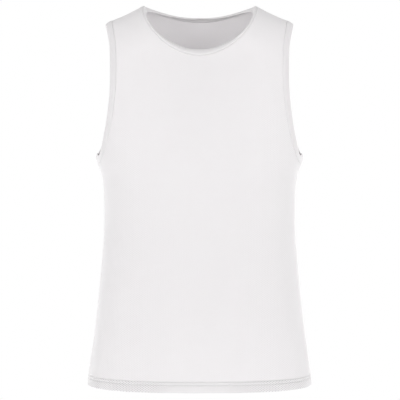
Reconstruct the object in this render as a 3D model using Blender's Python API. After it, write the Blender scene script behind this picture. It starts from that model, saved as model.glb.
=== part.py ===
"""Mesh training bib: a sleeveless pull-over vest of knitted polyester mesh.

It is modelled filled out, as it hangs from a wearer's shoulders: a front and a
back panel, joined at the shoulders and the sides, with doubled strips of plain
knit round the neck and the armholes and a hem folded up inside.

Metres, +Z up, the front faces -Y and the wearer's left is +X. The origin lies
midway between the two shoulders, at the level where the cloth rests on them.
Lengths down the garment are given as drops: distances straight down from the
neck ends of the shoulder seams, as a pattern maker measures them.
"""
import math

import bmesh
import bpy
from mathutils import Vector

# ---------------------------------------------------------------- sizes
CLOTH = 0.0014           # wall of one layer of mesh
SEAM_GAP = 0.0003        # clearance left in the shoulder and side seams
BINDING_GAP = 0.0004     # the same at the bindings, where the facets turn
NECK_END = 0.016         # height of the shoulder seams' neck ends above the origin
HEM_DROP = 0.6942        # where the hem's fold hangs
HEM_DEPTH = 0.020        # cloth turned up inside the hem
HEM_STEP = 0.0012        # height over which the turned-up cloth ends
HEM_RISE = 0.005         # how much higher the hem hangs at the side seams
HEM_RISE_ROWS = 5        # rows above the hem over which that fades
UNDERARM_DROP = 0.284    # top of the side seams
SQUARENESS = 2.5         # exponent of the body's section, 2 is an ellipse

NECK_HALF = 0.105        # half width of the neck between the panels' corners
SHOULDER_HALF = 0.160    # half width at the panels' shoulder tips
SHOULDER_SLOPE = 0.585   # fall of the shoulder at its neck end
SHOULDER_HOLLOW = 2.15   # how fast that slope eases, per metre
SHOULDER_LEVEL = 0.1048  # half width at which the shoulder line has no drop
SHOULDER_ROUND = 0.090   # drop over which the cloth rounds over the shoulder

BINDING_WIDTH = 0.014
BINDING_RISE = 0.0005    # how far a binding stands proud of the cloth, each side
BINDING_NOSE = 0.0007    # round of its folded edge
BINDING_STEPS = 4        # facets across its width
SCYE_CURL_UNDERARM = 45  # degrees that a binding turns in, down into the opening
SCYE_CURL_CHEST = 15
SCYE_CURL_SHOULDER = 25
SCYE_CURL_REACH = 0.45   # share of an armhole's height over which those two fade

HALF_COLUMNS = 14        # columns of facets from the middle to one side of a panel
NECK_COLUMNS = 9         # of those, the ones that end at the neck
NECK_CROWDING = 1.4      # above 1, crowds them towards the shoulder seams
BODY_ROWS = 11           # rows of facets from the turned-up cloth to the underarm
FOLD_ROW = 2             # row at which the turned-up cloth has ended
ROW_SINK = 0.017         # how far the rows sink below an armhole's floor
SINK_ROWS = 3.5          # rows over which that fades, downwards
FAN = 0.7                # how far the columns spread towards the armhole at the chest
FAN_END = 4              # the higher, the later they run back in to the neck
LEVELLING = 0.3          # how far the rows above the underarm lie level, 0 to 1

# The filled-out body, from the shoulders down: columns are the drop, the half
# width, and how far the front and the back stand from the shoulder seams.
BODY = (
    (0.000, 0.186, 0.078, 0.075),
    (0.040, 0.187, 0.078, 0.085),
    (0.090, 0.188, 0.084, 0.098),
    (0.150, 0.189, 0.099, 0.107),
    (0.210, 0.190, 0.111, 0.110),
    (0.262, 0.191, 0.116, 0.108),
    (0.284, 0.188, 0.117, 0.106),
    (0.307, 0.1795, 0.116, 0.103),
    (0.340, 0.1755, 0.113, 0.098),
    (0.395, 0.1745, 0.107, 0.093),
    (0.450, 0.1775, 0.105, 0.094),
    (0.538, 0.1855, 0.108, 0.102),
    (0.604, 0.193, 0.113, 0.109),
    (0.648, 0.200, 0.117, 0.114),
    (0.695, 0.206, 0.120, 0.118),
)

# How the neck binding turns in, down into the opening: columns are the share of
# the way round from the middle of the front to the middle of the back, how far
# it turns in degrees, and the share of its width over which it does so.
NECK_TURNS = (
    (0.000, 45, 1.00),
    (0.125, 66, 0.67),
    (0.250, 98, 0.33),
    (0.420, 104, 0.30),
    (0.500, 92, 0.34),
    (0.600, 85, 0.48),
    (1.000, 85, 1.00),
)

# The front panel's armhole edge from its side seam up to its shoulder tip, at
# every second row of facets: columns are the drop and the angle round from the
# panel's middle, in degrees.
FRONT_SCYE = (
    (0.2862, 86.0),
    (0.2895, 76.5),
    (0.2813, 66.2),
    (0.2590, 58.2),
    (0.2180, 52.3),
    (0.1520, 48.4),
    (0.0780, 49.6),
    (0.0380, 53.8),
)

# The back panel's armhole edge, with the same columns.
BACK_SCYE = (
    (0.2832, 85.5),
    (0.2770, 75.8),
    (0.2645, 67.5),
    (0.2430, 61.5),
    (0.2060, 56.3),
    (0.1480, 51.9),
    (0.0780, 52.2),
    (0.0380, 54.6),
)

SCYE_ROWS = 2 * len(FRONT_SCYE) + 1
UNDERARM_ROW = FOLD_ROW + BODY_ROWS
TOP_ROW = UNDERARM_ROW + SCYE_ROWS

# Each panel: the way it faces along Y, its armhole edge, how far its neck edge
# drops, and the exponents of that edge across and down.
FRONT = dict(facing=-1, scye=FRONT_SCYE, neck_drop=0.098, across=1.85, down=1.7)
BACK = dict(facing=1, scye=BACK_SCYE, neck_drop=0.0200, across=1.8, down=0.9)

MESH_WHITE = (0.86, 0.86, 0.87, 1.0)
BINDING_WHITE = (0.80, 0.80, 0.81, 1.0)


# ---------------------------------------------------------------- the form
def smooth_row(rows, key):
    """The row of a table at a key between its rows' keys, by a smooth cubic."""
    key = min(max(key, rows[0][0]), rows[-1][0])
    first = 0
    while first < len(rows) - 2 and rows[first + 1][0] < key:
        first += 1
    low, high = rows[first], rows[first + 1]
    before = rows[max(first - 1, 0)]
    after = rows[min(first + 2, len(rows) - 1)]
    step = high[0] - low[0]
    part = (key - low[0]) / step
    values = []
    for column in range(1, len(low)):
        leave = (high[column] - before[column]) / (high[0] - before[0]) * step
        arrive = (after[column] - low[column]) / (after[0] - low[0]) * step
        rise = high[column] - low[column]
        bend = (leave + arrive - 2 * rise) * part + 3 * rise - 2 * leave - arrive
        values.append((bend * part + leave) * part + low[column])
    return values


def rounded(wave, exponent):
    """A sine or cosine raised to 2 / exponent, with its sign kept."""
    return math.copysign(abs(wave) ** (2 / exponent), wave)


def girth_angle(reach, drop):
    """Angle from a panel's middle round to a distance from it, at a drop."""
    ratio = min(reach / smooth_row(BODY, drop)[0], 1.0)
    return math.asin(ratio ** (SQUARENESS / 2))


def half_width(angle, drop):
    """Distance from the middle at an angle round from it, the reverse of girth_angle."""
    return smooth_row(BODY, drop)[0] * rounded(math.sin(angle), SQUARENESS)


def shoulder_drop(reach):
    """Drop of the shoulder line at a distance from the middle. Inside the neck it runs on up."""
    reach = abs(reach) - SHOULDER_LEVEL
    hollow = SHOULDER_HOLLOW * reach * reach if reach > 0 else 0.0
    return SHOULDER_SLOPE * reach - hollow


def depth_squared(panel, x, drop):
    """Square of the form's distance from the seams' plane, in front or behind."""
    widest, front, back = smooth_row(BODY, drop)
    depth = front if panel is FRONT else back
    below = (drop - shoulder_drop(x)) / SHOULDER_ROUND
    below = min(max(below, 0.0), 1.0)
    side = max(1 - (abs(x) / widest) ** SQUARENESS, 0.0)
    return depth * depth * below * (2 - below) * side ** (2 / SQUARENESS)


def form_point(panel, angle, drop):
    """Point of the filled-out form, at an angle round from the panel's middle."""
    x = half_width(angle, drop)
    y = panel["facing"] * math.sqrt(depth_squared(panel, x, drop))
    return Vector((x, y, NECK_END - drop))


def form_normal(panel, angle, drop):
    """Unit vector out of the form, from the slope of its squared depth."""
    near = 0.00005
    point = form_point(panel, angle, drop)
    right = depth_squared(panel, point.x + near, drop)
    left = depth_squared(panel, point.x - near, drop)
    lower = depth_squared(panel, point.x, drop + near)
    upper = depth_squared(panel, point.x, drop - near)
    return Vector((left - right, 4 * near * point.y, lower - upper)).normalized()


# ---------------------------------------------------------------- the panels
def body_drop(row):
    """Drop of a row between the hem's fold (0) and the underarm."""
    fold_top = HEM_DROP - HEM_DEPTH
    if row < 1:
        return HEM_DROP - HEM_DEPTH * row
    if row < FOLD_ROW:
        return fold_top - HEM_STEP * (row - 1)
    start = fold_top - HEM_STEP
    return start + (UNDERARM_DROP - start) * (row - FOLD_ROW) / BODY_ROWS


def scye_place(panel, climb):
    """Angle and drop of the armhole edge, from the underarm (0) to the tip (1)."""
    rows = [(0, math.pi / 2, UNDERARM_DROP)]
    for drop, angle in panel["scye"]:
        rows.append((2 * len(rows) - 1, math.radians(angle), drop))
    tip = shoulder_drop(SHOULDER_HALF)
    rows.append((SCYE_ROWS, girth_angle(SHOULDER_HALF, tip), tip))
    return smooth_row(rows, climb * SCYE_ROWS)


def top_place(panel, share):
    """Angle and drop of a panel's neckline and shoulder, share 0 to 1 from its middle."""
    column = share * HALF_COLUMNS
    corner = shoulder_drop(NECK_HALF)
    if column <= NECK_COLUMNS:
        turn = (1 - (1 - column / NECK_COLUMNS) ** NECK_CROWDING) * math.pi / 2
        reach = NECK_HALF * rounded(math.sin(turn), panel["across"])
        drop = corner + (panel["neck_drop"] - corner) * rounded(math.cos(turn), panel["down"])
    else:
        part = (column - NECK_COLUMNS) / (HALF_COLUMNS - NECK_COLUMNS)
        reach = NECK_HALF + (SHOULDER_HALF - NECK_HALF) * part
        drop = shoulder_drop(reach)
    return girth_angle(reach, drop), drop


def chest_place(panel, share, climb):
    """Angle and drop of a place between the underarm (climb 0) and the top (1)."""
    top_angle, top_drop = top_place(panel, share)
    tip_angle, tip_drop = top_place(panel, 1)
    edge_angle, edge_drop = scye_place(panel, climb)
    fanned = share * (1 + FAN * (1 - (1 - climb) ** 2) * (1 - share))
    late = climb ** FAN_END
    angle = edge_angle * ((1 - late) * fanned + late * top_angle / tip_angle)
    even = climb * climb * (3 - 2 * climb)
    edge_rise = max((UNDERARM_DROP - edge_drop) / (UNDERARM_DROP - tip_drop), 0.0)
    blend = (1 - LEVELLING) * even + LEVELLING * edge_rise
    drop = (1 - blend) * UNDERARM_DROP + blend * top_drop
    drop += share ** 3 * (edge_drop - (1 - blend) * UNDERARM_DROP - blend * tip_drop)
    sloped = shoulder_drop(half_width(angle, drop))
    level_there = shoulder_drop(half_width(top_angle, top_drop))
    return angle, drop + late * (1 - share ** 6) * (sloped - level_there)


def row_sink(share, row):
    """Extra drop of the rows under an armhole, which keeps their facets square."""
    swell = max(math.sin(math.pi * share ** 4), 0.0)
    if row <= UNDERARM_ROW:
        fade = max(1 - (UNDERARM_ROW - row) / SINK_ROWS, 0.0)
    else:
        fade = max(1 - (row - UNDERARM_ROW) / SCYE_ROWS, 0.0)
    return ROW_SINK * swell * fade * fade


def cloth_place(panel, side, row):
    """Angle and drop of a place on a panel: side from -1 to 1, row from the hem up."""
    share = abs(side)
    if row <= UNDERARM_ROW:
        angle = share * math.pi / 2
        drop = body_drop(row)
    else:
        angle, drop = chest_place(panel, share, (row - UNDERARM_ROW) / SCYE_ROWS)
    fade = max(1 - row / HEM_RISE_ROWS, 0.0)
    rise = HEM_RISE * share * share * fade
    return math.copysign(angle, side), drop + row_sink(share, row) - rise


def shell_point(panel, side, row, inner):
    """Point of a panel's outer or inner face, kept clear of the seams' plane."""
    angle, drop = cloth_place(panel, side, row)
    point = form_point(panel, angle, drop)
    if inner:
        layers = 1 if row >= FOLD_ROW else 2
        point -= form_normal(panel, angle, drop) * CLOTH * layers
    point.y = panel["facing"] * max(panel["facing"] * point.y, SEAM_GAP / 2)
    return point


def build_panel(name, panel):
    """A panel: a flat slab of cloth in its own columns and rows, laid on the form."""
    mesh = bmesh.new()
    bmesh.ops.create_grid(mesh, x_segments=2 * HALF_COLUMNS, y_segments=TOP_ROW, size=1)
    slab = bmesh.ops.extrude_face_region(mesh, geom=mesh.faces[:], use_keep_orig=True)
    inner = {item for item in slab["geom"] if isinstance(item, bmesh.types.BMVert)}
    for vert in mesh.verts:
        side = round(vert.co.x * HALF_COLUMNS) / HALF_COLUMNS
        row = round((vert.co.y + 1) / 2 * TOP_ROW)
        vert.co = shell_point(panel, side, row, vert in inner)
    return finish_object(name, mesh, MESH_WHITE)


# ---------------------------------------------------------------- the bindings
def binding_profile():
    """A binding's section: how far along its width, and how high off the cloth."""
    top = BINDING_RISE
    bottom = -CLOTH - BINDING_RISE
    reach = [BINDING_WIDTH * step / BINDING_STEPS for step in range(BINDING_STEPS + 1)]
    nose = [(reach[-1] + BINDING_NOSE, (top + bottom) / 2)]
    return [(far, top) for far in reach] + nose + [(far, bottom) for far in reversed(reach)]


def edge_section(panel, side, row, curl, bend=1.0):
    """Where a binding meets a panel: the point, the way out of the cloth, how far the
    binding turns in, and over what share of its width."""
    angle, drop = cloth_place(panel, side, row)
    point = form_point(panel, angle, drop)
    return point, form_normal(panel, angle, drop), math.radians(curl), bend


def neck_section(panel, column):
    """Section of the neck binding at a column of one panel's neck edge."""
    round_to_side = abs(column) / NECK_COLUMNS / 2
    part = round_to_side if panel is FRONT else 1 - round_to_side
    curl, bend = smooth_row(NECK_TURNS, part)
    return edge_section(panel, column / HALF_COLUMNS, TOP_ROW, curl, bend)


def neck_sections():
    """Sections of the neck binding, across the front and back across the back."""
    columns = range(-NECK_COLUMNS, NECK_COLUMNS + 1)
    sections = [neck_section(FRONT, column) for column in columns]
    return sections + [neck_section(BACK, column) for column in reversed(columns[1:-1])]


def scye_curl(row):
    """Curl of an armhole binding: least at the chest, more at both ends."""
    climb = (row - UNDERARM_ROW) / SCYE_ROWS
    lower = max(1 - climb / SCYE_CURL_REACH, 0.0)
    upper = max(1 - (1 - climb) / SCYE_CURL_REACH, 0.0)
    curl = SCYE_CURL_CHEST + (SCYE_CURL_UNDERARM - SCYE_CURL_CHEST) * lower
    return curl + (SCYE_CURL_SHOULDER - SCYE_CURL_CHEST) * upper


def scye_sections(side):
    """Sections of an armhole binding, up the front edge and down the back edge."""
    rows = range(UNDERARM_ROW, TOP_ROW + 1)
    sections = [edge_section(FRONT, side, row, scye_curl(row)) for row in rows]
    for row in reversed(rows[1:-1]):
        sections.append(edge_section(BACK, side, row, scye_curl(row)))
    return sections


def curled_ring(outward, point, normal, curl, bend):
    """A binding's section at one place: it turns in from the edge, then runs on straight."""
    length = BINDING_WIDTH * bend
    radius = length / curl
    ring = []
    for far, high in binding_profile():
        turn = curl * min(far / length, 1.0)
        straight = max(far - length, 0.0)
        across = (radius + high) * math.sin(turn) + straight * math.cos(turn)
        rise = (radius + high) * math.cos(turn) - radius - straight * math.sin(turn)
        ring.append(point + outward * (BINDING_GAP + across) + normal * rise)
    return ring


def build_binding(name, sections):
    """A binding: its section carried round a closed edge, like a tyre."""
    middle = sum((section[0] for section in sections), Vector()) / len(sections)
    rings = []
    for place, (point, normal, curl, bend) in enumerate(sections):
        before = sections[place - 1][0]
        after = sections[(place + 1) % len(sections)][0]
        outward = normal.cross(after - before).normalized()
        if outward.dot(middle - point) < 0:
            outward.negate()
        rings.append(curled_ring(outward, point, normal, curl, bend))
    mesh = bmesh.new()
    around = len(rings)
    across = len(rings[0])
    bmesh.ops.create_grid(mesh, x_segments=around, y_segments=across, size=1)
    for vert in mesh.verts:
        ring = round((vert.co.x + 1) / 2 * around) % around
        place = round((vert.co.y + 1) / 2 * across) % across
        vert.co = rings[ring][place]
    bmesh.ops.remove_doubles(mesh, verts=mesh.verts, dist=0.000001)
    return finish_object(name, mesh, BINDING_WHITE)


# ---------------------------------------------------------------- objects
def cloth_material(name, colour):
    """A dull white cloth."""
    material = bpy.data.materials.new(name)
    material.use_nodes = True
    shader = material.node_tree.nodes["Principled BSDF"]
    shader.inputs["Base Color"].default_value = colour
    shader.inputs["Roughness"].default_value = 0.85
    shader.inputs["Metallic"].default_value = 0.0
    material.diffuse_color = colour
    return material


def finish_object(name, mesh, colour):
    """Turn a bmesh into a named, smooth shaded object with its own material."""
    bmesh.ops.recalc_face_normals(mesh, faces=mesh.faces)
    data = bpy.data.meshes.new(name)
    mesh.to_mesh(data)
    mesh.free()
    data.shade_smooth()
    data.set_sharp_from_angle(angle=math.radians(40))
    data.materials.append(cloth_material(name, colour))
    built = bpy.data.objects.new(name, data)
    bpy.context.scene.collection.objects.link(built)
    # Both sides of a seam then split along like diagonals, and keep their gap.
    facets = built.modifiers.new("facets", "TRIANGULATE")
    facets.quad_method = "SHORTEST_DIAGONAL"
    return built


def clear_scene():
    for item in list(bpy.data.objects):
        bpy.data.objects.remove(item, do_unlink=True)


def main():
    clear_scene()
    build_panel("front_panel", FRONT)
    build_panel("back_panel", BACK)
    build_binding("neck_binding", neck_sections())
    build_binding("armhole_binding_left", scye_sections(1))
    build_binding("armhole_binding_right", scye_sections(-1))


main()
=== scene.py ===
"""Looks of the mesh training bib: its knitted cloth, bindings, stitching and stage.

Every shell is laid on the form that the packed solids have: the sizes below are
the cut's own, and each piece is tested against its solid's box before it is
kept. Lengths down the garment are drops, straight down from the neck ends of
the shoulder seams. The front faces -Y and the wearer's left is +X.
"""
import math

import bmesh
import bpy
from bpy.props import FloatProperty, PointerProperty, StringProperty
from mathutils import Matrix, Vector


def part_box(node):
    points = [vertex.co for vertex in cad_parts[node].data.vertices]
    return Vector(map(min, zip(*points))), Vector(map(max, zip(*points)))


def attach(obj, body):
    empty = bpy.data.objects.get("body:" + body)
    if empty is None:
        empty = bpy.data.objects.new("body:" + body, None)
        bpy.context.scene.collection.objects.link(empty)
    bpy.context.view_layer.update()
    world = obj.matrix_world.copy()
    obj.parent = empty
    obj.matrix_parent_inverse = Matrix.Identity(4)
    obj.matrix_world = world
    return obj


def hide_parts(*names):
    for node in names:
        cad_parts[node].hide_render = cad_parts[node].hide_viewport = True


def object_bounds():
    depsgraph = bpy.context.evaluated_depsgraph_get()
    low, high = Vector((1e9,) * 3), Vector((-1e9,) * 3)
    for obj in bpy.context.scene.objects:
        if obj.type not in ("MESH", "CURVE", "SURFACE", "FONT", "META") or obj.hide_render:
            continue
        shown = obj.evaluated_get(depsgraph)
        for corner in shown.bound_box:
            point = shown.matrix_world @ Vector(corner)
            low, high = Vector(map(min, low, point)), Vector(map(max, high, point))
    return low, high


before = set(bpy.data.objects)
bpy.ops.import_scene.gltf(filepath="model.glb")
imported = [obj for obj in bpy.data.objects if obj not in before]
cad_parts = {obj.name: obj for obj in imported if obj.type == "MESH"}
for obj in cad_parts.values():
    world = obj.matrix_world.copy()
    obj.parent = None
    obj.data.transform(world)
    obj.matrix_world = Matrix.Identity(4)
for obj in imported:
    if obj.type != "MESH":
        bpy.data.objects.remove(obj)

bl_info = {
    "name": "Mesh training bib",
    "version": (1, 0, 0),
    "blender": (4, 5, 0),
    "location": "3D View > Sidebar > Bib",
    "description": "Lays knitted cloth, bindings and stitching on the frame of a training bib",
    "category": "Object",
}

CAD_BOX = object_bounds()

# ---------------------------------------------------------------- sizes of the cut
NECK_END = 0.016         # height of the shoulder seams' neck ends above the origin
CLOTH_WALL = 0.0014      # wall of the panels' solids
HEM_DROP = NECK_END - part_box("front_panel")[0][2]
HEM_RISE = 0.005         # how much higher the hem hangs at the side seams
HEM_RISE_REACH = 0.127   # height over which that fades
UNDERARM_DROP = 0.284    # top of the side seams
SQUARENESS = 2.5         # exponent of the body's section, 2 is an ellipse

NECK_HALF = 0.105        # half width of the neck between the panels' corners
SHOULDER_HALF = 0.160    # half width at the panels' shoulder tips
SHOULDER_SLOPE = 0.585   # fall of the shoulder at its neck end
SHOULDER_HOLLOW = 2.15   # how fast that slope eases, per metre
SHOULDER_LEVEL = 0.1048  # half width at which the shoulder line has no drop
SHOULDER_ROUND = 0.090   # drop over which the cloth rounds over the shoulder

BINDING_WIDTH = 0.014    # from a binding's seam to where its edge rolls over
BINDING_THICK = 0.0024   # thickness of a binding between its seam and its edge
SCYE_CURL_UNDERARM = 45  # degrees that a binding turns in, down into the opening
SCYE_CURL_CHEST = 15
SCYE_CURL_SHOULDER = 25
SCYE_CURL_REACH = 0.45   # share of an armhole's height over which those two fade

HALF_COLUMNS = 14        # columns of the cut from the middle to one side of a panel
NECK_COLUMNS = 9         # of those, the ones that end at the neck
NECK_SHARE = NECK_COLUMNS / HALF_COLUMNS
NECK_CROWDING = 1.4      # above 1, crowds places towards the shoulder seams
SINK = 0.017             # how far the rows of cloth sink below an armhole's floor
SINK_REACH = 0.123       # height over which that fades, downwards
FAN = 0.7                # how far the lines of cloth spread towards the armhole at the chest
FAN_END = 4              # the higher, the later they run back in to the neck
LEVELLING = 0.3          # how far the rows above the underarm lie level, 0 to 1

# The filled-out body, from the shoulders down: columns are the drop, the half
# width, and how far the front and the back stand from the shoulder seams.
BODY = (
    (0.000, 0.186, 0.078, 0.075),
    (0.040, 0.187, 0.078, 0.085),
    (0.090, 0.188, 0.084, 0.098),
    (0.150, 0.189, 0.099, 0.107),
    (0.210, 0.190, 0.111, 0.110),
    (0.262, 0.191, 0.116, 0.108),
    (0.284, 0.188, 0.117, 0.106),
    (0.307, 0.1795, 0.116, 0.103),
    (0.340, 0.1755, 0.113, 0.098),
    (0.395, 0.1745, 0.107, 0.093),
    (0.450, 0.1775, 0.105, 0.094),
    (0.538, 0.1855, 0.108, 0.102),
    (0.604, 0.193, 0.113, 0.109),
    (0.648, 0.200, 0.117, 0.114),
    (0.695, 0.206, 0.120, 0.118),
)

# How the neck binding turns in, down into the opening: columns are the share of
# the way round from the middle of the front to the middle of the back, how far
# it turns in degrees, and the share of its width over which it does so.
NECK_TURNS = (
    (0.000, 45, 1.00),
    (0.125, 66, 0.67),
    (0.250, 98, 0.33),
    (0.420, 104, 0.30),
    (0.500, 92, 0.34),
    (0.600, 85, 0.48),
    (1.000, 85, 1.00),
)

# The armhole edge of each panel from its side seam up to its shoulder tip, at
# even steps: columns are the drop and the angle round from the panel's middle,
# in degrees.
FRONT_SCYE = (
    (0.2862, 86.0), (0.2895, 76.5), (0.2813, 66.2), (0.2590, 58.2),
    (0.2180, 52.3), (0.1520, 48.4), (0.0780, 49.6), (0.0380, 53.8),
)
BACK_SCYE = (
    (0.2832, 85.5), (0.2770, 75.8), (0.2645, 67.5), (0.2430, 61.5),
    (0.2060, 56.3), (0.1480, 51.9), (0.0780, 52.2), (0.0380, 54.6),
)
SCYE_ROWS = 2 * len(FRONT_SCYE) + 1

# Soft folds of each panel, placed on its cloth. Columns are the distance from
# the panel's middle towards the wearer's left and the drop at one end, the same
# at the other end, how far the fold bows sideways, its half width and its
# height; a trough has a negative height.
FRONT_FOLDS = (
    (0.205, 0.330, 0.120, 0.470, 0.010, 0.026, -0.0016),
    (0.185, 0.345, 0.085, 0.560, 0.014, 0.030, 0.0012),
    (-0.208, 0.332, -0.105, 0.500, -0.012, 0.028, -0.0018),
    (-0.180, 0.352, -0.070, 0.590, -0.010, 0.030, 0.0011),
    (0.150, 0.500, 0.172, 0.700, 0.006, 0.030, -0.0020),
    (0.085, 0.540, 0.098, 0.705, -0.004, 0.026, 0.0013),
    (-0.020, 0.560, -0.034, 0.705, 0.003, 0.034, -0.0011),
    (-0.122, 0.520, -0.140, 0.700, 0.005, 0.027, -0.0019),
    (-0.190, 0.540, -0.205, 0.700, 0.004, 0.026, 0.0015),
    (0.215, 0.520, 0.228, 0.700, 0.003, 0.022, 0.0014),
    (0.118, 0.060, 0.142, 0.200, 0.008, 0.020, -0.0009),
    (-0.116, 0.055, -0.138, 0.215, -0.009, 0.021, -0.0010),
)
BACK_FOLDS = (
    (0.200, 0.330, 0.090, 0.450, 0.012, 0.027, -0.0022),
    (-0.203, 0.328, -0.085, 0.470, -0.014, 0.028, -0.0024),
    (0.170, 0.350, 0.060, 0.520, 0.010, 0.026, 0.0016),
    (-0.168, 0.352, -0.050, 0.540, -0.010, 0.027, 0.0018),
    (0.020, 0.330, -0.015, 0.480, 0.010, 0.040, -0.0018),
    (0.130, 0.500, 0.150, 0.705, 0.006, 0.031, -0.0026),
    (0.060, 0.520, 0.072, 0.705, 0.005, 0.028, 0.0020),
    (-0.045, 0.540, -0.050, 0.705, -0.004, 0.032, -0.0020),
    (-0.110, 0.510, -0.126, 0.705, 0.006, 0.027, 0.0021),
    (-0.175, 0.520, -0.196, 0.700, -0.005, 0.028, -0.0024),
    (0.100, 0.080, 0.118, 0.230, 0.010, 0.022, -0.0014),
    (-0.104, 0.085, -0.122, 0.245, -0.008, 0.022, -0.0013),
)

# Each panel: the way it faces, its column of BODY, its armhole, how low its neck
# is in the middle, the exponents of the neck's curve, 2 is an ellipse, and its folds.
FRONT = dict(facing=-1, depth=1, scye=FRONT_SCYE, neck_drop=0.098, across=1.85, down=1.7,
             folds=FRONT_FOLDS)
BACK = dict(facing=1, depth=2, scye=BACK_SCYE, neck_drop=0.0200, across=1.8, down=0.9,
            folds=BACK_FOLDS)

# ---------------------------------------------------------------- sizes of the cloth
BODY_TALL = HEM_DROP - UNDERARM_DROP
FIT = 0.004              # how far a shell may stand outside its solid's box
FOLD_RADIUS = 0.0011     # of the hem's fold, at the cloth's outer face
INSIDE_ROWS = 5          # rows of the turned-up cloth
TURN_UP = 0.0207         # height of the edge that is turned up inside the hem
NEEDLE_ROWS = (0.0133, 0.0191)  # heights of the hem's two rows of stitches
NEEDLE_DIP = 0.0010      # how deep the thread draws the cloth in
NEEDLE_DIP_REACH = 0.0020  # distance from a row over which that fades
SIDE_SINK = 0.0003       # how deep the cloth sinks into the side and armhole seams
TOP_SINK = 0.0008        # the same at the shoulder and neck seams
EDGE_SHARES = (0.002, 0.006, 0.013)  # lines of cloth beside a seam, as shares of a half panel
EDGE_FADES = (1.0, 0.55, 0.2, 0.06)  # share of the sink that the seam and those lines have
HALF_LINES = 56          # lines of cloth from the middle of a panel to its side
CHEST_LINES = 68         # lines from the underarm to the top
BODY_STEP = 0.005        # height of the rows below the underarm
HEM_STEP = 0.001         # the same in and just above the hem
HEM_STEPS_ABOVE = 3      # how many of those lie above the turned-up edge
STITCH_LENGTH = 0.0028
STITCH_DRAW = 0.78       # share of a stitch that its thread lies on top for
STITCH_LIFT = 0.35       # how far its middle stands off the cloth, in radii of the thread
CROSSING_LIFT = 0.6      # the same for the thread that crosses inside
LAST_TURN = 1.99999      # where the last stitch ends, a hair short of 2, the whole way round

BINDING_ROLL = 0.0010    # radius of a binding's folded edge
BINDING_SWELL = 0.003    # distance from the seam over which it swells to its thickness
BINDING_CLOSING = 0.8    # share of its width from which it thins to its folded edge
BINDING_STEPS = 14       # lines across its width
FINE = 4                 # sections for each line of the cut
MERGE = 0.000001         # points closer together than this are one

# ---------------------------------------------------------------- sizes of the finishes
HOLE_RADII = (0.0006, 0.0013)  # of a hole's floor and of its rim
HOLE_SHADE = 0.25        # how strongly the painted shade in the holes shows in one layer
HEM_SHADES = (1.3, 0.45)  # the same in the hem, with its layers' holes in line and not
HEM_SHADE_FADE = 0.001   # height over which those and the hem's partly painted lighter colour end, at the turned-up edge
HOLES_IN_LINE = 0.268    # distance round the hem from one place with holes in line to the next
MESH_LOOPS = 900         # loops of the mesh in a metre, 1.1 mm apart
RIB_LOOPS = 1200         # loops of the rib knit in a metre, 0.8 mm apart
THREAD_FIBRES = 4000     # twists of the thread in a metre, 0.25 mm apart
FLOOR_GRAINS = 60        # grains of the floor's paint in a metre, 17 mm apart

# ---------------------------------------------------------------- sizes of the stage
FLOOR_RADIUS = 3.0
FLOOR_COLOUR = "F9F9F9"
CEILING_RISE = (0.2, 0.8)  # rise, 0 level and 1 upright, over which the room dims
SOFT_BOXES = (-35, 35, -145, 145)  # where the soft boxes stand round the garment, in degrees
SOFT_BOX_WIDE = 1.2
SOFT_BOX_TALL = 1.6
CAMERA_ASIDE = 0.0009    # how far the camera stands towards the wearer's left
CAMERA_DROP = 0.355      # its drop, from which it looks level


# ---------------------------------------------------------------- settings
class BibClothSettings(bpy.types.PropertyGroup):
    """Sizes and colours of the knitted mesh."""
    colour: StringProperty(
        name="Colour", description="Colour of the mesh, as sRGB hex", default="E0DEDF")
    # Partly the doubled knit's own whiter tone, partly painted light: the hem is made lighter to
    # offset the shade its inner layer gives it.
    hem_colour_and_light: StringProperty(
        name="Hem colour", description="Colour of the mesh where it is doubled, as sRGB hex",
        default="E7E5E6")
    # Painted shade: this colour stands in for the shade down in the knit's holes and the dark inside
    # seen through them.
    hole_shade_colour: StringProperty(
        name="Hole colour", description="Colour down in the knit's holes, as sRGB hex",
        default="C6C3C5")
    thickness: FloatProperty(
        name="Thickness", description="Thickness of one layer of mesh",
        default=0.0009, min=0.0002, unit="LENGTH")
    pitch_across: FloatProperty(
        name="Pitch across", description="Distance between two holes of one course",
        default=0.0058, min=0.0005, unit="LENGTH")
    pitch_along: FloatProperty(
        name="Pitch along", description="Distance between two courses with holes in line",
        default=0.0038, min=0.0005, unit="LENGTH")
    translucence: FloatProperty(
        name="Translucence", description="How far light wanders in the knit before it turns",
        default=0.0017, min=0.0, unit="LENGTH")
    fold_scale: FloatProperty(
        name="Fold height", description="Scale of the soft folds, 1 as placed",
        default=1.0, min=0.0, max=3.0)


class BibBindingSettings(bpy.types.PropertyGroup):
    """Sizes and colours of the doubled strips."""
    colour: StringProperty(
        name="Colour", description="Colour of the strips, as sRGB hex", default="DEDCDD")
    rib_pitch: FloatProperty(
        name="Rib pitch", description="Distance between two ribs of the strip",
        default=0.0022, min=0.0004, unit="LENGTH")
    translucence: FloatProperty(
        name="Translucence", description="How far light wanders in the strip before it turns",
        default=0.0017, min=0.0, unit="LENGTH")


class BibStitchSettings(bpy.types.PropertyGroup):
    """Size and colour of the sewing thread; the colour holds painted shade."""
    # Partly the thread's own tone, partly painted shade: it is greyer than the cloth to darken the
    # stitched rows, where shade falls in the groove they draw in.
    colour: StringProperty(
        name="Colour", description="Colour of the thread, as sRGB hex", default="D0CECF")
    thread: FloatProperty(
        name="Thread", description="Diameter of the sewing thread",
        default=0.00045, min=0.0001, unit="LENGTH")


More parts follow.
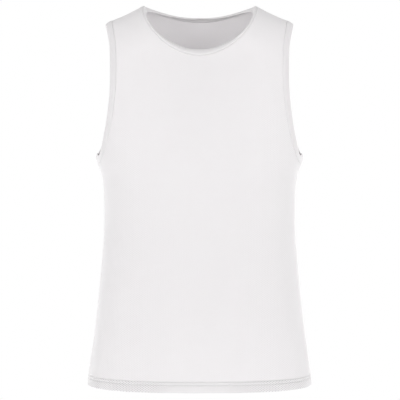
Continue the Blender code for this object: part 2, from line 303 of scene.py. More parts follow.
class BibStageSettings(bpy.types.PropertyGroup):
    """Camera, floor and light."""
    distance: FloatProperty(
        name="Distance", description="How far the camera stands from the shoulder seams' plane",
        default=2.75, min=0.5, unit="LENGTH")
    field: FloatProperty(
        name="Field of view", description="Angle that the camera takes in",
        default=math.radians(15.2), subtype="ANGLE")
    shoulder_height: FloatProperty(
        name="Shoulder height", description="Height of the wearer's shoulders above the floor",
        default=1.42, min=0.8, unit="LENGTH")
    light_distance: FloatProperty(
        name="Light distance", description="How far the soft boxes stand from the garment",
        default=3.0, min=0.5, unit="LENGTH")
    light_power: FloatProperty(
        name="Soft box power", description="Power of each of the four soft boxes",
        default=19.3, min=0.0, subtype="POWER")
    ceiling: FloatProperty(
        name="Ceiling", description="Brightness of the room overhead, 1 as at the walls",
        default=0.5, min=0.0, max=1.0, subtype="FACTOR")


# ---------------------------------------------------------------- the form
def smooth_row(rows, key):
    """The row of a table at a key between its rows' keys, by a smooth cubic."""
    key = min(max(key, rows[0][0]), rows[-1][0])
    first = 0
    while first < len(rows) - 2 and rows[first + 1][0] < key:
        first += 1
    low, high = rows[first], rows[first + 1]
    before = rows[max(first - 1, 0)]
    after = rows[min(first + 2, len(rows) - 1)]
    step = high[0] - low[0]
    part = (key - low[0]) / step
    values = []
    for column in range(1, len(low)):
        leave = (high[column] - before[column]) / (high[0] - before[0]) * step
        arrive = (after[column] - low[column]) / (after[0] - low[0]) * step
        rise = high[column] - low[column]
        bend = (leave + arrive - 2 * rise) * part + 3 * rise - 2 * leave - arrive
        values.append((bend * part + leave) * part + low[column])
    return values


def rounded(wave, exponent):
    """A sine or cosine raised to 2 / exponent, with its sign kept."""
    return math.copysign(abs(wave) ** (2 / exponent), wave)


def girth_angle(reach, drop):
    """Angle from a panel's middle round to a distance from it, at a drop."""
    ratio = min(reach / smooth_row(BODY, drop)[0], 1.0)
    return math.asin(ratio ** (SQUARENESS / 2))


def half_width(angle, drop):
    """Distance from the middle at an angle round from it, the reverse of girth_angle."""
    return smooth_row(BODY, drop)[0] * rounded(math.sin(angle), SQUARENESS)


def shoulder_drop(reach):
    """Drop of the shoulder line at a distance from the middle. Inside the neck it runs on up."""
    reach = abs(reach) - SHOULDER_LEVEL
    hollow = SHOULDER_HOLLOW * reach * reach if reach > 0 else 0.0
    return SHOULDER_SLOPE * reach - hollow


def depth_squared(panel, x, drop):
    """Square of the form's distance from the seams' plane, in front or behind."""
    row = smooth_row(BODY, drop)
    below = (drop - shoulder_drop(x)) / SHOULDER_ROUND
    below = min(max(below, 0.0), 1.0)
    side = max(1 - (abs(x) / row[0]) ** SQUARENESS, 0.0)
    return row[panel["depth"]] ** 2 * below * (2 - below) * side ** (2 / SQUARENESS)


def form_point(panel, angle, drop):
    """Point of the filled-out form, at an angle round from the panel's middle."""
    x = half_width(angle, drop)
    y = panel["facing"] * math.sqrt(depth_squared(panel, x, drop))
    return Vector((x, y, NECK_END - drop))


def form_normal(panel, angle, drop):
    """Unit vector out of the form, from the slope of its squared depth."""
    near = 0.00005  # half the step over which a slope is taken
    point = form_point(panel, angle, drop)
    right = depth_squared(panel, point.x + near, drop)
    left = depth_squared(panel, point.x - near, drop)
    lower = depth_squared(panel, point.x, drop + near)
    upper = depth_squared(panel, point.x, drop - near)
    return Vector((left - right, 4 * near * point.y, lower - upper)).normalized()


# ---------------------------------------------------------------- places on a panel
def scye_place(panel, climb):
    """Angle and drop of the armhole edge, from the underarm (0) to the tip (1)."""
    rows = [(0, math.pi / 2, UNDERARM_DROP)]
    for drop, angle in panel["scye"]:
        rows.append((2 * len(rows) - 1, math.radians(angle), drop))
    tip = shoulder_drop(SHOULDER_HALF)
    rows.append((SCYE_ROWS, girth_angle(SHOULDER_HALF, tip), tip))
    return smooth_row(rows, climb * SCYE_ROWS)


def top_place(panel, share):
    """Angle and drop of a panel's neckline and shoulder, share 0 to 1 from its middle."""
    corner = shoulder_drop(NECK_HALF)
    if share <= NECK_SHARE:
        turn = (1 - (1 - share / NECK_SHARE) ** NECK_CROWDING) * math.pi / 2
        reach = NECK_HALF * rounded(math.sin(turn), panel["across"])
        drop = corner + (panel["neck_drop"] - corner) * rounded(math.cos(turn), panel["down"])
    else:
        part = (share - NECK_SHARE) / (1 - NECK_SHARE)
        reach = NECK_HALF + (SHOULDER_HALF - NECK_HALF) * part
        drop = shoulder_drop(reach)
    return girth_angle(reach, drop), drop


def cloth_place(panel, side, level):
    """Angle and drop of a place: side -1 to 1, level 0 at the hem, 1 underarm, 2 top."""
    share = abs(side)
    swell = max(math.sin(math.pi * share ** 4), 0.0)
    if level <= 1:
        angle = share * math.pi / 2
        height = level * (HEM_DROP - UNDERARM_DROP)
        drop = HEM_DROP - height
        drop -= HEM_RISE * share * share * max(1 - height / HEM_RISE_REACH, 0.0)
        fade = max(1 - (drop - UNDERARM_DROP) / SINK_REACH, 0.0)
    else:
        climb = level - 1
        fade = 1 - climb
        top_angle, top_drop = top_place(panel, share)
        tip_angle, tip_drop = top_place(panel, 1)
        edge_angle, edge_drop = scye_place(panel, climb)
        fanned = share * (1 + FAN * (1 - fade * fade) * (1 - share))
        late = climb ** FAN_END
        angle = edge_angle * ((1 - late) * fanned + late * top_angle / tip_angle)
        even = climb * climb * (3 - 2 * climb)
        edge_rise = max((UNDERARM_DROP - edge_drop) / (UNDERARM_DROP - tip_drop), 0.0)
        blend = (1 - LEVELLING) * even + LEVELLING * edge_rise
        drop = (1 - blend) * UNDERARM_DROP + blend * top_drop
        drop += share ** 3 * (edge_drop - (1 - blend) * UNDERARM_DROP - blend * tip_drop)
        sloped = shoulder_drop(half_width(angle, drop))
        level_there = shoulder_drop(half_width(top_angle, top_drop))
        drop += late * (1 - share ** 6) * (sloped - level_there)
    return math.copysign(angle, side), drop + SINK * swell * fade * fade


def running_lengths(points):
    """Distances of a run of points from its first, along the run."""
    lengths = [0.0]
    for last, point in zip(points, points[1:]):
        lengths.append(lengths[-1] + (point - last).length)
    return lengths


class ClothMeasure:
    """Lengths over a panel's surface: round from its middle, and up from its hem."""
    ANGLES = 30
    DROPS = 90
    HAIR = 1e-6          # share of a step that keeps a place inside the last one
    FIRST_TOP = 0.06     # drop from which the shoulder line is looked for
    TOP_TRIES = 12

    def __init__(self, panel):
        turns = range(self.ANGLES + 1)
        steps = range(self.DROPS + 1)
        self.top = [self.top_drop(turn) for turn in turns]
        self.up = []
        for turn, top in enumerate(self.top):
            angle = self.angle(turn)
            column = [form_point(panel, angle, self.drop(top, step)) for step in steps]
            self.up.append(running_lengths(column))
        self.round = []
        for step in steps:
            drop = HEM_DROP * (1 - step / self.DROPS)
            row = [form_point(panel, self.angle(turn), drop) for turn in turns]
            self.round.append(running_lengths(row))

    def angle(self, turn):
        return turn / self.ANGLES * math.pi / 2

    def top_drop(self, turn):
        """Drop of the shoulder line at an angle, found by creeping up to it."""
        drop = self.FIRST_TOP
        for attempt in range(self.TOP_TRIES):
            drop = shoulder_drop(half_width(self.angle(turn), drop))
        return drop

    def drop(self, top, step):
        """Drops from the hem to the top, closer together where the cloth rounds over."""
        part = step / self.DROPS
        return HEM_DROP + (top - HEM_DROP) * (1 - (1 - part) ** 2)

    def across(self, angle, drop):
        """Distance round the panel from its middle, towards the wearer's left."""
        turn = min(abs(angle) / (math.pi / 2) * self.ANGLES, self.ANGLES - self.HAIR)
        step = min(max((1 - drop / HEM_DROP) * self.DROPS, 0.0), self.DROPS - self.HAIR)
        row, column = int(step), int(turn)
        lower = self.mix(self.round[row], column, turn - column)
        upper = self.mix(self.round[row + 1], column, turn - column)
        return math.copysign(lower + (upper - lower) * (step - row), angle)

    def above(self, angle, drop):
        """Distance up the panel from its hem."""
        turn = min(abs(angle) / (math.pi / 2) * self.ANGLES, self.ANGLES - self.HAIR)
        column = int(turn)
        near = self.climb(column, drop)
        far = self.climb(column + 1, drop)
        return near + (far - near) * (turn - column)

    def climb(self, column, drop):
        left = (drop - self.top[column]) / (HEM_DROP - self.top[column])
        step = (1 - math.sqrt(min(max(left, 0.0), 1.0))) * self.DROPS
        step = min(step, self.DROPS - self.HAIR)
        return self.mix(self.up[column], int(step), step - int(step))

    @staticmethod
    def mix(lengths, first, part):
        return lengths[first] + (lengths[first + 1] - lengths[first]) * part


def fold_height(panel, across, drop):
    """How far the soft folds lift the cloth off its form at a place."""
    total = 0.0
    for start, top, end, bottom, bow, reach, height in panel["folds"]:
        run = Vector((end - start, bottom - top))
        offset = Vector((across - start, drop - top))
        part = offset.dot(run) / run.length_squared
        if not 0 < part < 1:
            continue
        away = (offset.x * run.y - offset.y * run.x) / run.length
        away = abs(away - 4 * bow * part * (1 - part)) / reach
        if away < 1:
            total += height * math.sin(math.pi * part) ** 2 * math.cos(away * math.pi / 2) ** 2
    return total * bpy.context.scene.bib_cloth.fold_scale


def needle_dip(height):
    """How far the hem's two rows of stitches draw the cloth in, at a height."""
    dip = 0.0
    for row in NEEDLE_ROWS:
        away = abs(height - row) / NEEDLE_DIP_REACH
        if away < 1:
            dip += NEEDLE_DIP * math.cos(away * math.pi / 2) ** 2
    return dip


# ---------------------------------------------------------------- mesh helpers
def finish_mesh(name, mesh, material, smooth=True):
    """Turn a bmesh into a named object at the origin."""
    data = bpy.data.meshes.new(name)
    mesh.to_mesh(data)
    mesh.free()
    if smooth:
        data.shade_smooth()
    data.materials.append(material)
    made = bpy.data.objects.new(name, data)
    bpy.context.scene.collection.objects.link(made)
    return made


def lay_flat(mesh, uv, lengths):
    """Give each corner of a mesh its place on the flat cloth, from lengths by point."""
    for face in mesh.faces:
        for loop in face.loops:
            loop[uv].uv = lengths[loop.vert]


def face_outwards(mesh):
    """Turn a closed mesh's faces outwards. A thin curved wall can come out of the first
    step inside out, which its volume shows."""
    bmesh.ops.recalc_face_normals(mesh, faces=mesh.faces)
    if mesh.calc_volume(signed=True) < 0:
        bmesh.ops.reverse_faces(mesh, faces=mesh.faces)


def keep(piece, slot, *nodes):
    """Ride a piece on the body, in place of its CAD solids, and test that it fits them."""
    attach(piece, "root")
    if nodes:
        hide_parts(*nodes)
        low = [min(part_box(node)[0][axis] for node in nodes) for axis in range(3)]
        high = [max(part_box(node)[1][axis] for node in nodes) for axis in range(3)]
        for corner in piece.bound_box:
            for axis in range(3):
                if not low[axis] - FIT <= corner[axis] <= high[axis] + FIT:
                    raise RuntimeError(f"{piece.name} stands outside its solid's box")


# ---------------------------------------------------------------- the panels
def column_lines():
    """Lines of a panel from side to side, closer together beside its seams."""
    half = [line / HALF_LINES for line in range(HALF_LINES)]
    half += [1 - share for share in reversed(EDGE_SHARES)] + [1.0]
    return [-share for share in reversed(half[1:])] + half


def row_lines():
    """Rows of a panel, as level and turn round the hem's fold: from the turned-up edge
    down inside, round the fold and up outside."""
    inside = [TURN_UP * part / INSIDE_ROWS for part in range(INSIDE_ROWS, 0, -1)]
    rows = [(height / BODY_TALL, math.pi) for height in inside]
    for turn in range(180, -1, -30):
        rows.append((FOLD_RADIUS / BODY_TALL, math.radians(turn)))
    height = FOLD_RADIUS
    while height < TURN_UP + HEM_STEPS_ABOVE * HEM_STEP:
        height += HEM_STEP
        rows.append((height / BODY_TALL, 0.0))
    rest = BODY_TALL - height
    steps = round(rest / BODY_STEP)
    rows += [((height + rest * step / steps) / BODY_TALL, 0.0) for step in range(1, steps)]
    rows += [(1 + line / CHEST_LINES, 0.0) for line in range(CHEST_LINES)]
    rows += [(2 - share, 0.0) for share in reversed(EDGE_SHARES)] + [(2.0, 0.0)]
    return rows


def edge_sink(column, row, columns, rows):
    """How far a place sinks beside the side, armhole, shoulder and neck seams."""
    fades = dict(enumerate(EDGE_FADES))
    beside = SIDE_SINK * fades.get(min(column, columns - 1 - column), 0.0)
    below = TOP_SINK * fades.get(rows - 1 - row, 0.0)
    return max(beside, below)


def cloth_point(panel, angle, drop, turn, lift, radius):
    """Point of one face of the cloth, at a turn round the fold of the hem."""
    normal = form_normal(panel, angle, drop)
    down = (normal * normal.z - Vector((0, 0, 1))).normalized()
    middle = form_point(panel, angle, drop) + normal * (lift - FOLD_RADIUS)
    point = middle + (normal * math.cos(turn) + down * math.sin(turn)) * radius
    point.y = panel["facing"] * max(panel["facing"] * point.y, 0.0)
    return point


def build_cloth(name, panel, settings, material):
    """A panel: a slab of the cloth's own lines, laid on the form and folded at the hem."""
    sides = column_lines()
    rows = row_lines()
    measure = ClothMeasure(panel)
    mesh = bmesh.new()
    uv = mesh.loops.layers.uv.new("cloth")
    bmesh.ops.create_grid(mesh, x_segments=len(sides) - 1, y_segments=len(rows) - 1, size=1)
    slab = bmesh.ops.extrude_face_region(mesh, geom=mesh.faces[:], use_keep_orig=True)
    inner = {item for item in slab["geom"] if isinstance(item, bmesh.types.BMVert)}
    lengths = {}
    for vert in mesh.verts:
        column = round((vert.co.x + 1) / 2 * (len(sides) - 1))
        row = round((vert.co.y + 1) / 2 * (len(rows) - 1))
        level, turn = rows[row]
        angle, drop = cloth_place(panel, sides[column], level)
        across = measure.across(angle, drop)
        above = measure.above(angle, drop)
        lengths[vert] = (across, above if turn < math.pi / 2 else -above)
        lift = fold_height(panel, across, drop)
        if turn == 0:
            lift -= needle_dip(level * BODY_TALL)
        lift -= edge_sink(column, row, len(sides), len(rows))
        radius = FOLD_RADIUS - (settings.thickness if vert in inner else 0.0)
        vert.co = cloth_point(panel, angle, drop, turn, lift, radius)
    lay_flat(mesh, uv, lengths)
    face_outwards(mesh)
    return finish_mesh(name, mesh, material)


# ---------------------------------------------------------------- the bindings
def binding_profile(sink, thickness):
    """A binding's section: how far from the seam and how high off its middle layer. It
    starts level with the cloth's edge, which the seam has sunk."""
    over = []
    under = []
    seam = CLOTH_WALL / 2 - sink
    for step in range(BINDING_STEPS + 1):
        far = BINDING_WIDTH * step / BINDING_STEPS
        ease = min(far / BINDING_SWELL, 1.0)
        ease = ease * (2 - ease)
        closing = max(step / BINDING_STEPS - BINDING_CLOSING, 0.0) / (1 - BINDING_CLOSING)
        half = BINDING_THICK / 2
        half += (BINDING_ROLL - half) * closing * closing
        over.append((far, seam + (half - seam) * ease))
        under.append((far, seam - thickness - (half + seam - thickness) * ease))
    roll = []
    for turn in range(60, -61, -30):
        angle = math.radians(turn)
        roll.append((BINDING_WIDTH + BINDING_ROLL * math.cos(angle), BINDING_ROLL * math.sin(angle)))
    return over + roll + under[::-1]


def edge_section(panel, side, level, curl, bend=1.0):
    """Where a binding meets a panel: the point, the way out of the cloth, how far the
    binding turns in, and over what share of its width."""
    angle, drop = cloth_place(panel, side, level)
    point = form_point(panel, angle, drop)
    return point, form_normal(panel, angle, drop), math.radians(curl), bend


def neck_section(panel, share):
    """Section of the neck binding, share -1 to 1 across one panel's neck edge."""
    part = abs(share) / 2 if panel is FRONT else 1 - abs(share) / 2
    curl, bend = smooth_row(NECK_TURNS, part)
    return edge_section(panel, share * NECK_SHARE, 2, curl, bend)


def neck_sections():
    """Sections of the neck binding, across the front and back across the back."""
    half = NECK_COLUMNS * FINE
    shares = [place / half for place in range(-half, half + 1)]
    sections = [neck_section(FRONT, share) for share in shares]
    return sections + [neck_section(BACK, share) for share in reversed(shares[1:-1])]


def scye_section(panel, side, climb):
    """Section of an armhole binding: its curl is least at the chest."""
    lower = max(1 - climb / SCYE_CURL_REACH, 0.0)
    upper = max(1 - (1 - climb) / SCYE_CURL_REACH, 0.0)
    curl = SCYE_CURL_CHEST + (SCYE_CURL_UNDERARM - SCYE_CURL_CHEST) * lower
    curl += (SCYE_CURL_SHOULDER - SCYE_CURL_CHEST) * upper
    return edge_section(panel, side, 1 + climb, curl)


def scye_sections(side):
    """Sections of an armhole binding, up the front edge and down the back edge."""
    rows = SCYE_ROWS * FINE
    climbs = [row / rows for row in range(rows + 1)]
    sections = [scye_section(FRONT, side, climb) for climb in climbs]
    return sections + [scye_section(BACK, side, climb) for climb in reversed(climbs[1:-1])]


def curled_ring(profile, outward, point, normal, curl, bend):
    """A binding's section at one place: it turns in from the edge, then runs on straight."""
    length = BINDING_WIDTH * bend
    radius = length / curl
    middle = point - normal * CLOTH_WALL / 2
    ring = []
    for far, high in profile:
        turn = curl * min(far / length, 1.0)
        straight = max(far - length, 0.0)
        across = (radius + high) * math.sin(turn) + straight * math.cos(turn)
        rise = (radius + high) * math.cos(turn) - radius - straight * math.sin(turn)
        ring.append(middle + outward * across + normal * rise)
    return ring


def build_binding(name, sections, profile, material):
    """A binding: its section carried round a closed edge, like a tyre."""
    count = len(sections)
    points = [section[0] for section in sections]
    middle = sum(points, Vector()) / count
    rings = []
    for place, (point, normal, curl, bend) in enumerate(sections):
        after = points[(place + 1) % count]
        outward = normal.cross(after - points[place - 1]).normalized()
        if outward.dot(middle - point) < 0:
            outward.negate()
        rings.append(curled_ring(profile, outward, point, normal, curl, bend))
    along = running_lengths(points + points[:1])
    around = running_lengths([Vector(corner) for corner in profile + profile[:1]])
    mesh = bmesh.new()
    uv = mesh.loops.layers.uv.new("cloth")
    bmesh.ops.create_grid(mesh, x_segments=count, y_segments=len(profile), size=1)
    lengths = {}
    for vert in mesh.verts:
        ring = round((vert.co.x + 1) / 2 * count)
        place = round((vert.co.y + 1) / 2 * len(profile))
        lengths[vert] = (along[ring], around[place])
        vert.co = rings[ring % count][place % len(profile)]
    lay_flat(mesh, uv, lengths)
    bmesh.ops.remove_doubles(mesh, verts=mesh.verts, dist=MERGE)
    face_outwards(mesh)
    return finish_mesh(name, mesh, material)


# ---------------------------------------------------------------- stitching
def stitch_pod():
    """The shape of one stitch: a slim pod of thread, one unit round."""
    mesh = bmesh.new()
    bmesh.ops.create_uvsphere(mesh, u_segments=6, v_segments=4, radius=1)
    pod = bpy.data.meshes.new("pod")
    mesh.to_mesh(pod)
    mesh.free()
    return pod


def add_stitch(mesh, pod, start, end, normal, radius):
    """One stitch: the pod laid on the cloth between two points."""
    along = (end - start).normalized()
    side = normal.cross(along).normalized()
    up = along.cross(side)
    axes = Matrix((along, side, up)).transposed().to_4x4()
    scale = Matrix.Diagonal(((end - start).length / 2, radius, radius, 1))
    laid = pod.copy()
    laid.transform(Matrix.Translation((start + end) / 2) @ axes @ scale)
    mesh.from_mesh(laid)
    bpy.data.meshes.remove(laid)


def hem_place(measures, turn, height, lift=0.0):
    """Point and outward normal on the hem at a turn from 0 to 2 round the body."""
    panel = FRONT if turn < 1 else BACK
    side = 2 * turn - 1 if turn < 1 else 3 - 2 * turn
    angle, drop = cloth_place(panel, side, height / BODY_TALL)
    across = measures[panel["facing"]].across(angle, drop)
    normal = form_normal(panel, angle, drop)
    lift += fold_height(panel, across, drop) - needle_dip(height)
    return form_point(panel, angle, drop) + normal * lift, normal


def even_turns(measures, height, step):
    """Turns round the body that lie an even distance apart along the hem."""
    samples = 720
    points = [hem_place(measures, 2 * index / samples, height)[0] for index in range(samples)]
    lengths = running_lengths(points + points[:1])
    count = round(lengths[-1] / step)
    turns = []
    index = 0
    for stitch in range(count):
        target = lengths[-1] * stitch / count
        while lengths[index + 1] < target:
            index += 1
        part = (target - lengths[index]) / (lengths[index + 1] - lengths[index])
        turns.append(2 * (index + part) / samples)
    return turns


def build_hem_stitching(name, settings, material):
    """The hem's twin rows outside, and the thread that crosses between them inside."""
    mesh = bmesh.new()
    pod = stitch_pod()
    radius = settings.thread / 2
    measures = {panel["facing"]: ClothMeasure(panel) for panel in (FRONT, BACK)}
    turns = even_turns(measures, NEEDLE_ROWS[0], STITCH_LENGTH)
    outside = radius * STITCH_LIFT
    inside = -2 * FOLD_RADIUS - radius * CROSSING_LIFT
    for number, (turn, after) in enumerate(zip(turns, turns[1:] + [LAST_TURN])):
        end = turn + (after - turn) * STITCH_DRAW
        for height in NEEDLE_ROWS:
            start_point, normal = hem_place(measures, turn, height, outside)
            end_point, normal = hem_place(measures, end, height, outside)
            add_stitch(mesh, pod, start_point, end_point, normal, radius)
        low, high = NEEDLE_ROWS
        if number % 2:
            low, high = high, low
        start_point, normal = hem_place(measures, turn, low, inside + needle_dip(low))
        end_point, normal = hem_place(measures, after, high, inside + needle_dip(high))
        add_stitch(mesh, pod, start_point, end_point, normal, radius)
    bpy.data.meshes.remove(pod)
    return finish_mesh(name, mesh, material)


# ---------------------------------------------------------------- materials
def linear(code):
    """An sRGB hex colour as linear RGBA."""
    channels = [int(code[place:place + 2], 16) / 255 for place in (0, 2, 4)]
    return [c / 12.92 if c <= 0.04045 else ((c + 0.055) / 1.055) ** 2.4 for c in channels] + [1.0]


def add_node(tree, kind, inputs=None, **settings):
    """Add a node, with its settings, and values or links for its inputs."""
    node = tree.nodes.new(kind)
    for name, value in settings.items():
        setattr(node, name, value)
    for name, value in (inputs or {}).items():
        if isinstance(value, bpy.types.NodeSocket):
            tree.links.new(value, node.inputs[name])
        else:
            node.inputs[name].default_value = value
    return node


def new_material(name):
    """A material with an empty tree and its output."""
    material = bpy.data.materials.new(name)
    material.use_nodes = True
    tree = material.node_tree
    tree.nodes.clear()
    return material, tree, add_node(tree, "ShaderNodeOutputMaterial")


def hole_distance(tree, place, pitch, shift):
    """Distance to the nearest hole of one lattice over the cloth, in metres."""
    cells = add_node(tree, "ShaderNodeVectorMath", {0: place, 1: (*pitch, 1)}, operation="DIVIDE")
    moved = add_node(
        tree, "ShaderNodeVectorMath", {0: cells.outputs[0], 1: shift}, operation="ADD")
    part = add_node(tree, "ShaderNodeVectorMath", {0: moved.outputs[0]}, operation="FRACTION")
    centred = add_node(
        tree, "ShaderNodeVectorMath", {0: part.outputs[0], 1: (0.5, 0.5, 0)}, operation="SUBTRACT")
    real = add_node(
        tree, "ShaderNodeVectorMath", {0: centred.outputs[0], 1: (*pitch, 0)}, operation="MULTIPLY")
    return add_node(
        tree, "ShaderNodeVectorMath", {0: real.outputs[0]}, operation="LENGTH").outputs["Value"]


def mesh_knit_material(settings):
    """Warp-knitted polyester mesh: dull and white, with small holes in quincunx. They are
    drawn about twice as far apart as real ones, 3 mm, so that they show. Down in them
    the cloth is greyed by painted shade, standing in for the shade in the holes and the
    dark inside seen through them, plainly so in the hem, where the holes of its two
    layers fall in line."""
    material, tree, output = new_material("polyester_mesh_knit")
    place = add_node(tree, "ShaderNodeUVMap", uv_map="cloth").outputs["UV"]
    pitch = (settings.pitch_across, settings.pitch_along)
    first = hole_distance(tree, place, pitch, (0, 0, 0))
    second = hole_distance(tree, place, pitch, (0.5, 0.5, 0))
    nearest = add_node(tree, "ShaderNodeMath", {0: first, 1: second}, operation="MINIMUM")
    hole = add_node(
        tree, "ShaderNodeMapRange",
        {"Value": nearest.outputs[0], "From Min": HOLE_RADII[0], "From Max": HOLE_RADII[1],
         "To Min": 1.0, "To Max": 0.0},
        interpolation_type="SMOOTHSTEP")
    parts = add_node(tree, "ShaderNodeSeparateXYZ", {0: place})
    doubled = add_node(
        tree, "ShaderNodeMapRange",
        {"Value": parts.outputs["Y"], "From Min": TURN_UP - HEM_SHADE_FADE,
         "From Max": TURN_UP, "To Min": 1.0, "To Max": 0.0})
    round_hem = add_node(
        tree, "ShaderNodeMath", {0: parts.outputs["X"], 1: 2 * math.pi / HOLES_IN_LINE},
        operation="MULTIPLY")
    crossed = add_node(tree, "ShaderNodeMath", {0: round_hem.outputs[0]}, operation="COSINE")
    in_line = add_node(
        tree, "ShaderNodeMapRange",
        {"Value": crossed.outputs[0], "From Min": -1.0, "From Max": 1.0,
         "To Min": HEM_SHADES[0], "To Max": HEM_SHADES[1]})
    # How strong the painted shade in the holes is: more in the hem, most where its layers' holes
    # fall in line.
    depth = add_node(
        tree, "ShaderNodeMix",
        {"Factor": doubled.outputs[0], "A": HOLE_SHADE, "B": in_line.outputs[0]})
    strength = add_node(
        tree, "ShaderNodeMath", {0: hole.outputs[0], 1: depth.outputs["Result"]},
        operation="MULTIPLY")
    knit = add_node(
        # Lighter where doubled: partly the denser knit, partly painted light against the shade of
        # the hem's inner layer.
        tree, "ShaderNodeMix",
        {"Factor": doubled.outputs[0], "A": linear(settings.colour),
         "B": linear(settings.hem_colour_and_light)},
        data_type="RGBA")
    # Painted shade: the holes are greyed with the hole shade colour, as strongly as worked out
    # above.
    colour = add_node(
        tree, "ShaderNodeMix",
        {"Factor": strength.outputs[0], "A": knit.outputs["Result"],
         "B": linear(settings.hole_shade_colour)},
        data_type="RGBA")
    loops = add_node(
        tree, "ShaderNodeTexNoise", {"Vector": place, "Scale": MESH_LOOPS, "Detail": 2.0})
    relief = add_node(
        tree, "ShaderNodeMath",
        {0: loops.outputs["Fac"], 1: 0.25, 2: hole.outputs[0]}, operation="MULTIPLY_ADD")
    bump = add_node(
        tree, "ShaderNodeBump", {"Height": relief.outputs[0], "Strength": 0.25, "Distance": 0.0003},
        invert=True)
    shader = add_node(
        tree, "ShaderNodeBsdfPrincipled",
        {"Base Color": colour.outputs["Result"], "Roughness": 0.9, "IOR": 1.45,
         "Specular IOR Level": 0.25, "Sheen Weight": 0.15, "Sheen Roughness": 0.5,
         "Subsurface Weight": 1.0, "Subsurface Radius": (1, 1, 1),
         "Subsurface Scale": settings.translucence, "Normal": bump.outputs["Normal"]})
    tree.links.new(shader.outputs["BSDF"], output.inputs["Surface"])
    return material


def binding_material(settings):
    """Plain rib-knit polyester, doubled and pressed: a little greyer and denser than the
    mesh. Its ribs, about 1 mm apart, are drawn twice as coarse so that they show."""
    material, tree, output = new_material("polyester_rib_knit")
    place = add_node(tree, "ShaderNodeUVMap", uv_map="cloth").outputs["UV"]
    along = add_node(tree, "ShaderNodeSeparateXYZ", {0: place}).outputs["X"]
    turns = add_node(
        tree, "ShaderNodeMath", {0: along, 1: 2 * math.pi / settings.rib_pitch},
        operation="MULTIPLY")
    ribs = add_node(tree, "ShaderNodeMath", {0: turns.outputs[0]}, operation="SINE")
    loops = add_node(
        tree, "ShaderNodeTexNoise", {"Vector": place, "Scale": RIB_LOOPS, "Detail": 2.0})
    relief = add_node(
        tree, "ShaderNodeMath",
        {0: ribs.outputs[0], 1: 0.5, 2: loops.outputs["Fac"]}, operation="MULTIPLY_ADD")
    bump = add_node(
        tree, "ShaderNodeBump",
        {"Height": relief.outputs[0], "Strength": 0.2, "Distance": 0.0002})
    shader = add_node(
        tree, "ShaderNodeBsdfPrincipled",
        {"Base Color": linear(settings.colour), "Roughness": 0.88, "IOR": 1.45,
         "Specular IOR Level": 0.25, "Sheen Weight": 0.15, "Sheen Roughness": 0.5,
         "Subsurface Weight": 1.0, "Subsurface Radius": (1, 1, 1),
         "Subsurface Scale": settings.translucence, "Normal": bump.outputs["Normal"]})
    tree.links.new(shader.outputs["BSDF"], output.inputs["Surface"])
    return material


def thread_material(settings):
    """Spun polyester sewing thread: dull, with a slight lustre along its twist. Its grey is partly
    its own tone and partly painted shade of the hem's stitched grooves.
    """
    material, tree, output = new_material("polyester_thread")
    place = add_node(tree, "ShaderNodeTexCoord").outputs["Object"]
    fibres = add_node(
        tree, "ShaderNodeTexNoise", {"Vector": place, "Scale": THREAD_FIBRES, "Detail": 2.0})
    bump = add_node(
        tree, "ShaderNodeBump",
        {"Height": fibres.outputs["Fac"], "Strength": 0.2, "Distance": 0.0001})
    # Painted shade: the thread's greyer colour darkens the stitched rows.
    shader = add_node(
        tree, "ShaderNodeBsdfPrincipled",
        {"Base Color": linear(settings.colour), "Roughness": 0.7, "IOR": 1.5,
         "Sheen Weight": 0.1, "Normal": bump.outputs["Normal"]})
    tree.links.new(shader.outputs["BSDF"], output.inputs["Surface"])
    return material


def floor_material():
    """Matt white painted board: nearly even, a very fine grain."""
    material, tree, output = new_material("matt_white_floor")
    place = add_node(tree, "ShaderNodeTexCoord").outputs["Object"]
    grain = add_node(tree, "ShaderNodeTexNoise", {"Vector": place, "Scale": FLOOR_GRAINS})
    bump = add_node(
        tree, "ShaderNodeBump",
        {"Height": grain.outputs["Fac"], "Strength": 0.05, "Distance": 0.001})
    shader = add_node(
        tree, "ShaderNodeBsdfPrincipled",
        {"Base Color": linear(FLOOR_COLOUR), "Roughness": 0.9, "Normal": bump.outputs["Normal"]})
    tree.links.new(shader.outputs["BSDF"], output.inputs["Surface"])
    return material


# ---------------------------------------------------------------- the stage
def build_floor(settings):
    """A round floor, as far down as a wearer's shoulders are high."""
    mesh = bmesh.new()
    bmesh.ops.create_circle(mesh, cap_ends=True, segments=96, radius=FLOOR_RADIUS)
    bmesh.ops.translate(mesh, verts=mesh.verts, vec=(0, 0, -settings.shoulder_height))
    return finish_mesh("floor", mesh, floor_material(), smooth=False)


def light_room(scene, settings):
    """The light of a white room, with a ceiling that is less bright than its walls."""
    world = bpy.data.worlds.new("white room")
    world.use_nodes = True
    tree = world.node_tree
    tree.nodes.clear()
    way = add_node(tree, "ShaderNodeTexCoord").outputs["Generated"]
    rise = add_node(tree, "ShaderNodeSeparateXYZ", {0: way}).outputs["Z"]
    glow = add_node(
        tree, "ShaderNodeMapRange",
        {"Value": rise, "From Min": CEILING_RISE[0], "From Max": CEILING_RISE[1],
         "To Min": 1.0, "To Max": settings.ceiling},
        interpolation_type="SMOOTHSTEP")
    room = add_node(
        tree, "ShaderNodeBackground",
        {"Color": (1, 1, 1, 1), "Strength": glow.outputs["Result"]})
    add_node(tree, "ShaderNodeOutputWorld", {"Surface": room.outputs["Background"]})
    scene.world = world
    scene.view_settings.view_transform = "Standard"


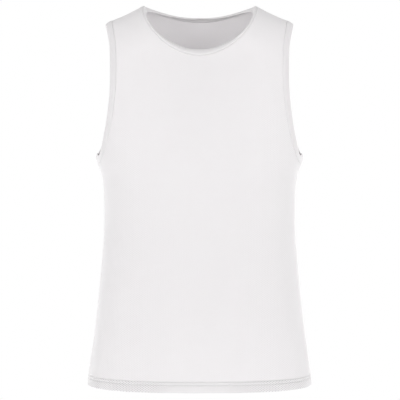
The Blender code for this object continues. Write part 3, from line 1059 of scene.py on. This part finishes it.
def hang_soft_box(scene, settings, turn):
    """A soft box at the height of the garment's middle, turned to face it."""
    light = bpy.data.lights.new("soft box", "AREA")
    light.shape = "RECTANGLE"
    light.size = SOFT_BOX_WIDE
    light.size_y = SOFT_BOX_TALL
    light.energy = settings.light_power
    lamp = bpy.data.objects.new("soft box", light)
    low, high = CAD_BOX
    away = Vector((math.sin(turn), -math.cos(turn), 0))
    lamp.location = away * settings.light_distance + Vector((0, 0, (low[2] + high[2]) / 2))
    lamp.rotation_euler = (-away).to_track_quat("-Z", "Y").to_euler()
    scene.collection.objects.link(lamp)


def place_camera(scene, settings):
    """The camera, in front of the garment and level."""
    camera = bpy.data.cameras.new("camera")
    camera.angle = settings.field
    eye = bpy.data.objects.new("camera", camera)
    eye.location = (CAMERA_ASIDE, -settings.distance, NECK_END - CAMERA_DROP)
    eye.rotation_euler = (math.pi / 2, 0, 0)
    scene.collection.objects.link(eye)
    scene.camera = eye


# ---------------------------------------------------------------- operators
class BIB_OT_front(bpy.types.Operator):
    """Lay the front panel's mesh on its form, with its hem turned up"""
    bl_idname = "bib.front"
    bl_label = "Front panel"

    def execute(self, context):
        settings = context.scene.bib_cloth
        cloth = build_cloth("front_cloth", FRONT, settings, mesh_knit_material(settings))
        keep(cloth, "mesh", "front_panel")
        return {"FINISHED"}


class BIB_OT_back(bpy.types.Operator):
    """Lay the back panel's mesh on its form, with its hem turned up"""
    bl_idname = "bib.back"
    bl_label = "Back panel"

    def execute(self, context):
        settings = context.scene.bib_cloth
        cloth = build_cloth("back_cloth", BACK, settings, mesh_knit_material(settings))
        keep(cloth, "mesh", "back_panel")
        return {"FINISHED"}


class BIB_OT_neck(bpy.types.Operator):
    """Bind the neck with its doubled strip"""
    bl_idname = "bib.neck"
    bl_label = "Neck binding"

    def execute(self, context):
        material = binding_material(context.scene.bib_binding)
        profile = binding_profile(TOP_SINK, context.scene.bib_cloth.thickness)
        strip = build_binding("neck_strip", neck_sections(), profile, material)
        keep(strip, "binding", "neck_binding")
        return {"FINISHED"}


class BIB_OT_armholes(bpy.types.Operator):
    """Bind both armholes with their doubled strips"""
    bl_idname = "bib.armholes"
    bl_label = "Armhole bindings"

    def execute(self, context):
        material = binding_material(context.scene.bib_binding)
        profile = binding_profile(SIDE_SINK, context.scene.bib_cloth.thickness)
        for word, side in (("left", 1), ("right", -1)):
            sections = scye_sections(side)
            strip = build_binding(f"armhole_strip_{word}", sections, profile, material)
            keep(strip, "binding", f"armhole_binding_{word}")
        return {"FINISHED"}


class BIB_OT_hem(bpy.types.Operator):
    """Stitch the hem with two rows of thread"""
    bl_idname = "bib.hem"
    bl_label = "Hem stitching"

    def execute(self, context):
        settings = context.scene.bib_stitch
        thread = build_hem_stitching("hem_stitching", settings, thread_material(settings))
        keep(thread, "mesh")
        return {"FINISHED"}


class BIB_OT_stage(bpy.types.Operator):
    """Set the floor, the soft light and the camera"""
    bl_idname = "bib.stage"
    bl_label = "Stage"

    def execute(self, context):
        settings = context.scene.bib_stage
        floor = build_floor(settings)
        light_room(context.scene, settings)
        for azimuth in SOFT_BOXES:
            hang_soft_box(context.scene, settings, math.radians(azimuth))
        place_camera(context.scene, settings)
        return {"FINISHED"}


STEPS = (BIB_OT_front, BIB_OT_back, BIB_OT_neck, BIB_OT_armholes, BIB_OT_hem, BIB_OT_stage)
GROUPS = {
    "bib_cloth": BibClothSettings,
    "bib_binding": BibBindingSettings,
    "bib_stitch": BibStitchSettings,
    "bib_stage": BibStageSettings,
}


class BIB_PT_sidebar(bpy.types.Panel):
    """Settings and steps of the bib, in the 3D view's sidebar"""
    bl_idname = "BIB_PT_sidebar"
    bl_label = "Mesh training bib"
    bl_space_type = "VIEW_3D"
    bl_region_type = "UI"
    bl_category = "Bib"

    def draw(self, context):
        for group, kind in GROUPS.items():
            box = self.layout.box()
            box.label(text=kind.__doc__)
            for name in kind.__annotations__:
                box.prop(getattr(context.scene, group), name)
        for step in STEPS:
            self.layout.operator(step.bl_idname)


CLASSES = (*GROUPS.values(), *STEPS, BIB_PT_sidebar)


def register():
    for kind in CLASSES:
        bpy.utils.register_class(kind)
    for group, kind in GROUPS.items():
        setattr(bpy.types.Scene, group, PointerProperty(type=kind))


def unregister():
    for group in GROUPS:
        delattr(bpy.types.Scene, group)
    for kind in reversed(CLASSES):
        bpy.utils.unregister_class(kind)


def main():
    register()
    bpy.ops.bib.front()
    bpy.ops.bib.back()
    bpy.ops.bib.neck()
    bpy.ops.bib.armholes()
    bpy.ops.bib.hem()
    bpy.ops.bib.stage()


if __name__ == "__main__":
    main()
